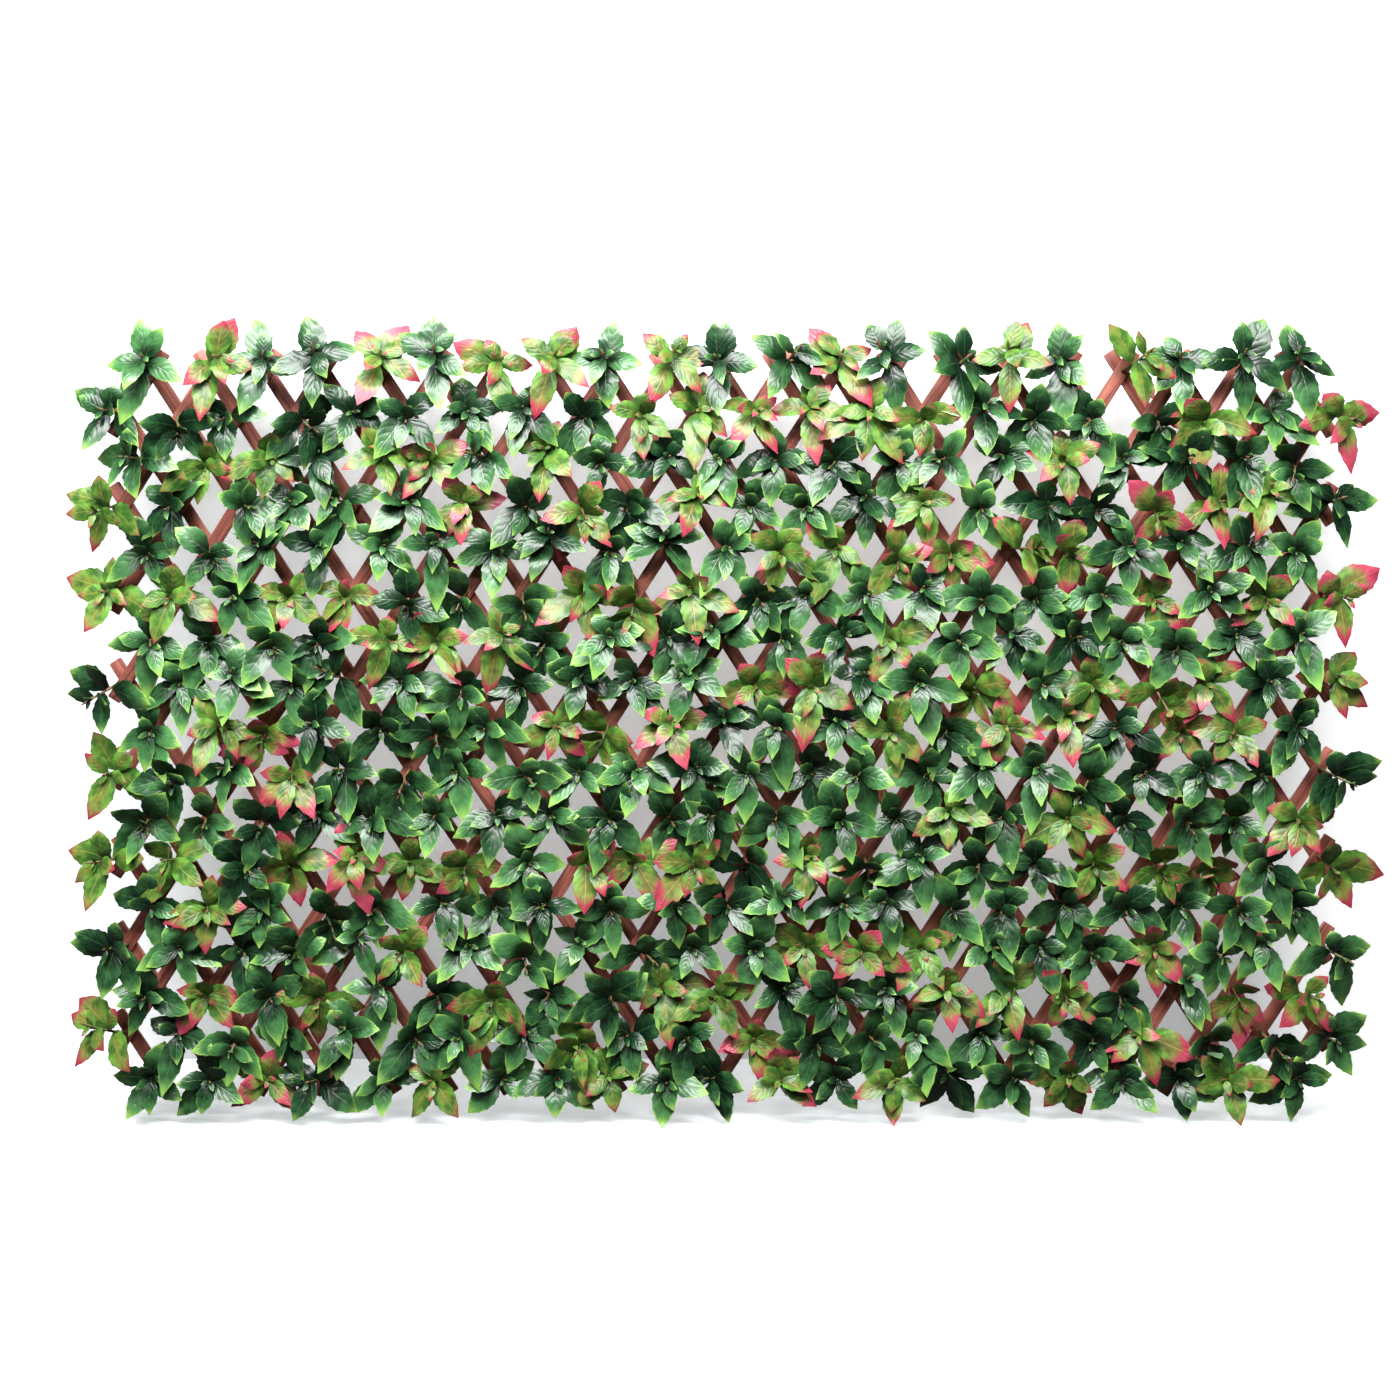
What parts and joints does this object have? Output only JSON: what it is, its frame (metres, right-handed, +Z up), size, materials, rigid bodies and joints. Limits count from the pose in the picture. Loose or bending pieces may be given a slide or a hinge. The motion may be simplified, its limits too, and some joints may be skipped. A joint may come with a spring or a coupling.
{
  "type": "artificial hedge trellis",
  "caption": "Expanding scissor lattice of stained slats in two layers, riveted at the crossings, with a whorl of soft green and red-tipped leaves at each rivet.",
  "frame": {"origin": "on the flat back face of the middle back slat, at the centre crossing of the panel", "axes": "+X to the right along the fence as seen from the leafy side, +Y out of the back face into the fence, +Z up; the leaves face -Y"},
  "size_m": [1.7516, 0.0603, 1.0768],
  "materials": {
    "stained_slat": "red-brown stain with a satin sheen and fine grain along the slat",
    "leafy_slat": "stained slat with moulded leaf whorls on it",
    "green_leaf": "glossy embossed leaf, dark green with lime edges and tip",
    "red_tip_leaf": "glossy embossed leaf, yellow green with a brown-red midrib and a crimson tip",
    "stem": "moulded brown-green stem and bud",
    "rivet": "dull flat-headed rivet"
  },
  "bodies": {
    "root": {"back_slat_15": "stained_slat"},
    "front_slat_01": {"front_slat_01": "leafy_slat"},
    "front_slat_02": {"front_slat_02": "leafy_slat"},
    "front_slat_03": {"front_slat_03": "leafy_slat"},
    "front_slat_04": {"front_slat_04": "leafy_slat"},
    "front_slat_05": {"front_slat_05": "leafy_slat"},
    "front_slat_06": {"front_slat_06": "leafy_slat"},
    "front_slat_07": {"front_slat_07": "leafy_slat"},
    "front_slat_08": {"front_slat_08": "leafy_slat"},
    "front_slat_09": {"front_slat_09": "leafy_slat"},
    "front_slat_10": {"front_slat_10": "leafy_slat"},
    "front_slat_11": {"front_slat_11": "leafy_slat"},
    "front_slat_12": {"front_slat_12": "leafy_slat"},
    "front_slat_13": {"front_slat_13": "leafy_slat"},
    "front_slat_14": {"front_slat_14": "leafy_slat"},
    "front_slat_15": {"front_slat_15": "leafy_slat"},
    "front_slat_16": {"front_slat_16": "leafy_slat"},
    "front_slat_17": {"front_slat_17": "leafy_slat"},
    "front_slat_18": {"front_slat_18": "leafy_slat"},
    "front_slat_19": {"front_slat_19": "leafy_slat"},
    "front_slat_20": {"front_slat_20": "leafy_slat"},
    "front_slat_21": {"front_slat_21": "leafy_slat"},
    "front_slat_22": {"front_slat_22": "leafy_slat"},
    "front_slat_23": {"front_slat_23": "leafy_slat"},
    "front_slat_24": {"front_slat_24": "leafy_slat"},
    "front_slat_25": {"front_slat_25": "leafy_slat"},
    "front_slat_26": {"front_slat_26": "leafy_slat"},
    "front_slat_27": {"front_slat_27": "leafy_slat"},
    "front_slat_28": {"front_slat_28": "leafy_slat"},
    "front_slat_29": {"front_slat_29": "leafy_slat"},
    "back_slat_01": {"back_slat_01": "stained_slat"},
    "back_slat_02": {"back_slat_02": "stained_slat"},
    "back_slat_03": {"back_slat_03": "stained_slat"},
    "back_slat_04": {"back_slat_04": "stained_slat"},
    "back_slat_05": {"back_slat_05": "stained_slat"},
    "back_slat_06": {"back_slat_06": "stained_slat"},
    "back_slat_07": {"back_slat_07": "stained_slat"},
    "back_slat_08": {"back_slat_08": "stained_slat"},
    "back_slat_09": {"back_slat_09": "stained_slat"},
    "back_slat_10": {"back_slat_10": "stained_slat"},
    "back_slat_11": {"back_slat_11": "stained_slat"},
    "back_slat_12": {"back_slat_12": "stained_slat"},
    "back_slat_13": {"back_slat_13": "stained_slat"},
    "back_slat_14": {"back_slat_14": "stained_slat"},
    "back_slat_16": {"back_slat_16": "stained_slat"},
    "back_slat_17": {"back_slat_17": "stained_slat"},
    "back_slat_18": {"back_slat_18": "stained_slat"},
    "back_slat_19": {"back_slat_19": "stained_slat"},
    "back_slat_20": {"back_slat_20": "stained_slat"},
    "back_slat_21": {"back_slat_21": "stained_slat"},
    "back_slat_22": {"back_slat_22": "stained_slat"},
    "back_slat_23": {"back_slat_23": "stained_slat"},
    "back_slat_24": {"back_slat_24": "stained_slat"},
    "back_slat_25": {"back_slat_25": "stained_slat"},
    "back_slat_26": {"back_slat_26": "stained_slat"},
    "back_slat_27": {"back_slat_27": "stained_slat"},
    "back_slat_28": {"back_slat_28": "stained_slat"},
    "back_slat_29": {"back_slat_29": "stained_slat"}
  },
  "joints": [
    {"name": "scissor_fold", "type": "hinge", "parent": "root", "child": "front_slat_15", "pos_m": [0, -0.00515, 0], "axis": [0, -1, 0], "range_deg": [-26, 40]},
    {"name": "hinge_front_07", "type": "hinge", "parent": "root", "child": "front_slat_07", "pos_m": [-0.30769, -0.00515, 0.47744], "axis": [0, -1, 0], "range_deg": [-26, 40]},
    {"name": "hinge_front_08", "type": "hinge", "parent": "root", "child": "front_slat_08", "pos_m": [-0.26923, -0.00515, 0.41776], "axis": [0, -1, 0], "range_deg": [-26, 40]},
    {"name": "hinge_front_09", "type": "hinge", "parent": "root", "child": "front_slat_09", "pos_m": [-0.23077, -0.00515, 0.35808], "axis": [0, -1, 0], "range_deg": [-26, 40]},
    {"name": "hinge_front_10", "type": "hinge", "parent": "root", "child": "front_slat_10", "pos_m": [-0.19231, -0.00515, 0.2984], "axis": [0, -1, 0], "range_deg": [-26, 40]},
    {"name": "hinge_front_11", "type": "hinge", "parent": "root", "child": "front_slat_11", "pos_m": [-0.15385, -0.00515, 0.23872], "axis": [0, -1, 0], "range_deg": [-26, 40]},
    {"name": "hinge_front_12", "type": "hinge", "parent": "root", "child": "front_slat_12", "pos_m": [-0.11538, -0.00515, 0.17904], "axis": [0, -1, 0], "range_deg": [-26, 40]},
    {"name": "hinge_front_13", "type": "hinge", "parent": "root", "child": "front_slat_13", "pos_m": [-0.07692, -0.00515, 0.11936], "axis": [0, -1, 0], "range_deg": [-26, 40]},
    {"name": "hinge_front_14", "type": "hinge", "parent": "root", "child": "front_slat_14", "pos_m": [-0.03846, -0.00515, 0.05968], "axis": [0, -1, 0], "range_deg": [-26, 40]},
    {"name": "hinge_front_16", "type": "hinge", "parent": "root", "child": "front_slat_16", "pos_m": [0.03846, -0.00515, -0.05968], "axis": [0, -1, 0], "range_deg": [-26, 40]},
    {"name": "hinge_front_17", "type": "hinge", "parent": "root", "child": "front_slat_17", "pos_m": [0.07692, -0.00515, -0.11936], "axis": [0, -1, 0], "range_deg": [-26, 40]},
    {"name": "hinge_front_18", "type": "hinge", "parent": "root", "child": "front_slat_18", "pos_m": [0.11538, -0.00515, -0.17904], "axis": [0, -1, 0], "range_deg": [-26, 40]},
    {"name": "hinge_front_19", "type": "hinge", "parent": "root", "child": "front_slat_19", "pos_m": [0.15385, -0.00515, -0.23872], "axis": [0, -1, 0], "range_deg": [-26, 40]},
    {"name": "hinge_front_20", "type": "hinge", "parent": "root", "child": "front_slat_20", "pos_m": [0.19231, -0.00515, -0.2984], "axis": [0, -1, 0], "range_deg": [-26, 40]},
    {"name": "hinge_front_21", "type": "hinge", "parent": "root", "child": "front_slat_21", "pos_m": [0.23077, -0.00515, -0.35808], "axis": [0, -1, 0], "range_deg": [-26, 40]},
    {"name": "hinge_front_22", "type": "hinge", "parent": "root", "child": "front_slat_22", "pos_m": [0.26923, -0.00515, -0.41776], "axis": [0, -1, 0], "range_deg": [-26, 40]},
    {"name": "hinge_front_23", "type": "hinge", "parent": "root", "child": "front_slat_23", "pos_m": [0.30769, -0.00515, -0.47744], "axis": [0, -1, 0], "range_deg": [-26, 40]},
    {"name": "hinge_back_01", "type": "hinge", "parent": "front_slat_08", "child": "back_slat_01", "pos_m": [-0.80769, -0.00515, -0.41776], "axis": [0, -1, 0], "range_deg": [-40, 26]},
    {"name": "hinge_back_02", "type": "hinge", "parent": "front_slat_07", "child": "back_slat_02", "pos_m": [-0.80769, -0.00515, -0.2984], "axis": [0, -1, 0], "range_deg": [-40, 26]},
    {"name": "hinge_back_03", "type": "hinge", "parent": "front_slat_07", "child": "back_slat_03", "pos_m": [-0.76923, -0.00515, -0.23872], "axis": [0, -1, 0], "range_deg": [-40, 26]},
    {"name": "hinge_back_04", "type": "hinge", "parent": "front_slat_07", "child": "back_slat_04", "pos_m": [-0.73076, -0.00515, -0.17904], "axis": [0, -1, 0], "range_deg": [-40, 26]},
    {"name": "hinge_back_05", "type": "hinge", "parent": "front_slat_07", "child": "back_slat_05", "pos_m": [-0.6923, -0.00515, -0.11936], "axis": [0, -1, 0], "range_deg": [-40, 26]},
    {"name": "hinge_back_06", "type": "hinge", "parent": "front_slat_07", "child": "back_slat_06", "pos_m": [-0.65384, -0.00515, -0.05968], "axis": [0, -1, 0], "range_deg": [-40, 26]},
    {"name": "hinge_back_07", "type": "hinge", "parent": "front_slat_07", "child": "back_slat_07", "pos_m": [-0.61538, -0.00515, 0], "axis": [0, -1, 0], "range_deg": [-40, 26]},
    {"name": "hinge_back_08", "type": "hinge", "parent": "front_slat_08", "child": "back_slat_08", "pos_m": [-0.53846, -0.00515, 0], "axis": [0, -1, 0], "range_deg": [-40, 26]},
    {"name": "hinge_back_09", "type": "hinge", "parent": "front_slat_09", "child": "back_slat_09", "pos_m": [-0.46153, -0.00515, 0], "axis": [0, -1, 0], "range_deg": [-40, 26]},
    {"name": "hinge_back_10", "type": "hinge", "parent": "front_slat_10", "child": "back_slat_10", "pos_m": [-0.38461, -0.00515, 0], "axis": [0, -1, 0], "range_deg": [-40, 26]},
    {"name": "hinge_back_11", "type": "hinge", "parent": "front_slat_11", "child": "back_slat_11", "pos_m": [-0.30769, -0.00515, 0], "axis": [0, -1, 0], "range_deg": [-40, 26]},
    {"name": "hinge_back_12", "type": "hinge", "parent": "front_slat_12", "child": "back_slat_12", "pos_m": [-0.23077, -0.00515, 0], "axis": [0, -1, 0], "range_deg": [-40, 26]},
    {"name": "hinge_back_13", "type": "hinge", "parent": "front_slat_13", "child": "back_slat_13", "pos_m": [-0.15385, -0.00515, 0], "axis": [0, -1, 0], "range_deg": [-40, 26]},
    {"name": "hinge_back_14", "type": "hinge", "parent": "front_slat_14", "child": "back_slat_14", "pos_m": [-0.07692, -0.00515, 0], "axis": [0, -1, 0], "range_deg": [-40, 26]},
    {"name": "hinge_back_16", "type": "hinge", "parent": "front_slat_16", "child": "back_slat_16", "pos_m": [0.07692, -0.00515, 0], "axis": [0, -1, 0], "range_deg": [-40, 26]},
    {"name": "hinge_back_17", "type": "hinge", "parent": "front_slat_17", "child": "back_slat_17", "pos_m": [0.15385, -0.00515, 0], "axis": [0, -1, 0], "range_deg": [-40, 26]},
    {"name": "hinge_back_18", "type": "hinge", "parent": "front_slat_18", "child": "back_slat_18", "pos_m": [0.23077, -0.00515, 0], "axis": [0, -1, 0], "range_deg": [-40, 26]},
    {"name": "hinge_back_19", "type": "hinge", "parent": "front_slat_19", "child": "back_slat_19", "pos_m": [0.30769, -0.00515, 0], "axis": [0, -1, 0], "range_deg": [-40, 26]},
    {"name": "hinge_back_20", "type": "hinge", "parent": "front_slat_20", "child": "back_slat_20", "pos_m": [0.38461, -0.00515, 0], "axis": [0, -1, 0], "range_deg": [-40, 26]},
    {"name": "hinge_back_21", "type": "hinge", "parent": "front_slat_21", "child": "back_slat_21", "pos_m": [0.46153, -0.00515, 0], "axis": [0, -1, 0], "range_deg": [-40, 26]},
    {"name": "hinge_back_22", "type": "hinge", "parent": "front_slat_22", "child": "back_slat_22", "pos_m": [0.53846, -0.00515, 0], "axis": [0, -1, 0], "range_deg": [-40, 26]},
    {"name": "hinge_back_23", "type": "hinge", "parent": "front_slat_23", "child": "back_slat_23", "pos_m": [0.61538, -0.00515, 0], "axis": [0, -1, 0], "range_deg": [-40, 26]},
    {"name": "hinge_back_24", "type": "hinge", "parent": "front_slat_23", "child": "back_slat_24", "pos_m": [0.65384, -0.00515, 0.05968], "axis": [0, -1, 0], "range_deg": [-40, 26]},
    {"name": "hinge_back_25", "type": "hinge", "parent": "front_slat_23", "child": "back_slat_25", "pos_m": [0.6923, -0.00515, 0.11936], "axis": [0, -1, 0], "range_deg": [-40, 26]},
    {"name": "hinge_back_26", "type": "hinge", "parent": "front_slat_23", "child": "back_slat_26", "pos_m": [0.73076, -0.00515, 0.17904], "axis": [0, -1, 0], "range_deg": [-40, 26]},
    {"name": "hinge_back_27", "type": "hinge", "parent": "front_slat_23", "child": "back_slat_27", "pos_m": [0.76923, -0.00515, 0.23872], "axis": [0, -1, 0], "range_deg": [-40, 26]},
    {"name": "hinge_back_28", "type": "hinge", "parent": "front_slat_23", "child": "back_slat_28", "pos_m": [0.80769, -0.00515, 0.2984], "axis": [0, -1, 0], "range_deg": [-40, 26]},
    {"name": "hinge_back_29", "type": "hinge", "parent": "front_slat_22", "child": "back_slat_29", "pos_m": [0.80769, -0.00515, 0.41776], "axis": [0, -1, 0], "range_deg": [-40, 26]},
    {"name": "hinge_front_01", "type": "hinge", "parent": "back_slat_08", "child": "front_slat_01", "pos_m": [-0.80769, -0.00515, 0.41776], "axis": [0, -1, 0], "range_deg": [-26, 40]},
    {"name": "hinge_front_02", "type": "hinge", "parent": "back_slat_07", "child": "front_slat_02", "pos_m": [-0.80769, -0.00515, 0.2984], "axis": [0, -1, 0], "range_deg": [-26, 40]},
    {"name": "hinge_front_03", "type": "hinge", "parent": "back_slat_06", "child": "front_slat_03", "pos_m": [-0.80769, -0.00515, 0.17904], "axis": [0, -1, 0], "range_deg": [-26, 40]},
    {"name": "hinge_front_04", "type": "hinge", "parent": "back_slat_05", "child": "front_slat_04", "pos_m": [-0.80769, -0.00515, 0.05968], "axis": [0, -1, 0], "range_deg": [-26, 40]},
    {"name": "hinge_front_05", "type": "hinge", "parent": "back_slat_05", "child": "front_slat_05", "pos_m": [-0.76923, -0.00515, 0], "axis": [0, -1, 0], "range_deg": [-26, 40]},
    {"name": "hinge_front_06", "type": "hinge", "parent": "back_slat_06", "child": "front_slat_06", "pos_m": [-0.6923, -0.00515, 0], "axis": [0, -1, 0], "range_deg": [-26, 40]},
    {"name": "hinge_front_24", "type": "hinge", "parent": "back_slat_24", "child": "front_slat_24", "pos_m": [0.6923, -0.00515, 0], "axis": [0, -1, 0], "range_deg": [-26, 40]},
    {"name": "hinge_front_25", "type": "hinge", "parent": "back_slat_25", "child": "front_slat_25", "pos_m": [0.76923, -0.00515, 0], "axis": [0, -1, 0], "range_deg": [-26, 40]},
    {"name": "hinge_front_26", "type": "hinge", "parent": "back_slat_25", "child": "front_slat_26", "pos_m": [0.80769, -0.00515, -0.05968], "axis": [0, -1, 0], "range_deg": [-26, 40]},
    {"name": "hinge_front_27", "type": "hinge", "parent": "back_slat_24", "child": "front_slat_27", "pos_m": [0.80769, -0.00515, -0.17904], "axis": [0, -1, 0], "range_deg": [-26, 40]},
    {"name": "hinge_front_28", "type": "hinge", "parent": "back_slat_23", "child": "front_slat_28", "pos_m": [0.80769, -0.00515, -0.2984], "axis": [0, -1, 0], "range_deg": [-26, 40]},
    {"name": "hinge_front_29", "type": "hinge", "parent": "back_slat_22", "child": "front_slat_29", "pos_m": [0.80769, -0.00515, -0.41776], "axis": [0, -1, 0], "range_deg": [-26, 40]}
  ],
  "couplings": [
    {"joint": "hinge_front_07", "follows": "scissor_fold", "ratio": 1},
    {"joint": "hinge_front_08", "follows": "scissor_fold", "ratio": 1},
    {"joint": "hinge_front_09", "follows": "scissor_fold", "ratio": 1},
    {"joint": "hinge_front_10", "follows": "scissor_fold", "ratio": 1},
    {"joint": "hinge_front_11", "follows": "scissor_fold", "ratio": 1},
    {"joint": "hinge_front_12", "follows": "scissor_fold", "ratio": 1},
    {"joint": "hinge_front_13", "follows": "scissor_fold", "ratio": 1},
    {"joint": "hinge_front_14", "follows": "scissor_fold", "ratio": 1},
    {"joint": "hinge_front_16", "follows": "scissor_fold", "ratio": 1},
    {"joint": "hinge_front_17", "follows": "scissor_fold", "ratio": 1},
    {"joint": "hinge_front_18", "follows": "scissor_fold", "ratio": 1},
    {"joint": "hinge_front_19", "follows": "scissor_fold", "ratio": 1},
    {"joint": "hinge_front_20", "follows": "scissor_fold", "ratio": 1},
    {"joint": "hinge_front_21", "follows": "scissor_fold", "ratio": 1},
    {"joint": "hinge_front_22", "follows": "scissor_fold", "ratio": 1},
    {"joint": "hinge_front_23", "follows": "scissor_fold", "ratio": 1},
    {"joint": "hinge_back_01", "follows": "scissor_fold", "ratio": -1},
    {"joint": "hinge_back_02", "follows": "scissor_fold", "ratio": -1},
    {"joint": "hinge_back_03", "follows": "scissor_fold", "ratio": -1},
    {"joint": "hinge_back_04", "follows": "scissor_fold", "ratio": -1},
    {"joint": "hinge_back_05", "follows": "scissor_fold", "ratio": -1},
    {"joint": "hinge_back_06", "follows": "scissor_fold", "ratio": -1},
    {"joint": "hinge_back_07", "follows": "scissor_fold", "ratio": -1},
    {"joint": "hinge_back_08", "follows": "scissor_fold", "ratio": -1},
    {"joint": "hinge_back_09", "follows": "scissor_fold", "ratio": -1},
    {"joint": "hinge_back_10", "follows": "scissor_fold", "ratio": -1},
    {"joint": "hinge_back_11", "follows": "scissor_fold", "ratio": -1},
    {"joint": "hinge_back_12", "follows": "scissor_fold", "ratio": -1},
    {"joint": "hinge_back_13", "follows": "scissor_fold", "ratio": -1},
    {"joint": "hinge_back_14", "follows": "scissor_fold", "ratio": -1},
    {"joint": "hinge_back_16", "follows": "scissor_fold", "ratio": -1},
    {"joint": "hinge_back_17", "follows": "scissor_fold", "ratio": -1},
    {"joint": "hinge_back_18", "follows": "scissor_fold", "ratio": -1},
    {"joint": "hinge_back_19", "follows": "scissor_fold", "ratio": -1},
    {"joint": "hinge_back_20", "follows": "scissor_fold", "ratio": -1},
    {"joint": "hinge_back_21", "follows": "scissor_fold", "ratio": -1},
    {"joint": "hinge_back_22", "follows": "scissor_fold", "ratio": -1},
    {"joint": "hinge_back_23", "follows": "scissor_fold", "ratio": -1},
    {"joint": "hinge_back_24", "follows": "scissor_fold", "ratio": -1},
    {"joint": "hinge_back_25", "follows": "scissor_fold", "ratio": -1},
    {"joint": "hinge_back_26", "follows": "scissor_fold", "ratio": -1},
    {"joint": "hinge_back_27", "follows": "scissor_fold", "ratio": -1},
    {"joint": "hinge_back_28", "follows": "scissor_fold", "ratio": -1},
    {"joint": "hinge_back_29", "follows": "scissor_fold", "ratio": -1},
    {"joint": "hinge_front_01", "follows": "scissor_fold", "ratio": 1},
    {"joint": "hinge_front_02", "follows": "scissor_fold", "ratio": 1},
    {"joint": "hinge_front_03", "follows": "scissor_fold", "ratio": 1},
    {"joint": "hinge_front_04", "follows": "scissor_fold", "ratio": 1},
    {"joint": "hinge_front_05", "follows": "scissor_fold", "ratio": 1},
    {"joint": "hinge_front_06", "follows": "scissor_fold", "ratio": 1},
    {"joint": "hinge_front_24", "follows": "scissor_fold", "ratio": 1},
    {"joint": "hinge_front_25", "follows": "scissor_fold", "ratio": 1},
    {"joint": "hinge_front_26", "follows": "scissor_fold", "ratio": 1},
    {"joint": "hinge_front_27", "follows": "scissor_fold", "ratio": 1},
    {"joint": "hinge_front_28", "follows": "scissor_fold", "ratio": 1},
    {"joint": "hinge_front_29", "follows": "scissor_fold", "ratio": 1}
  ]
}
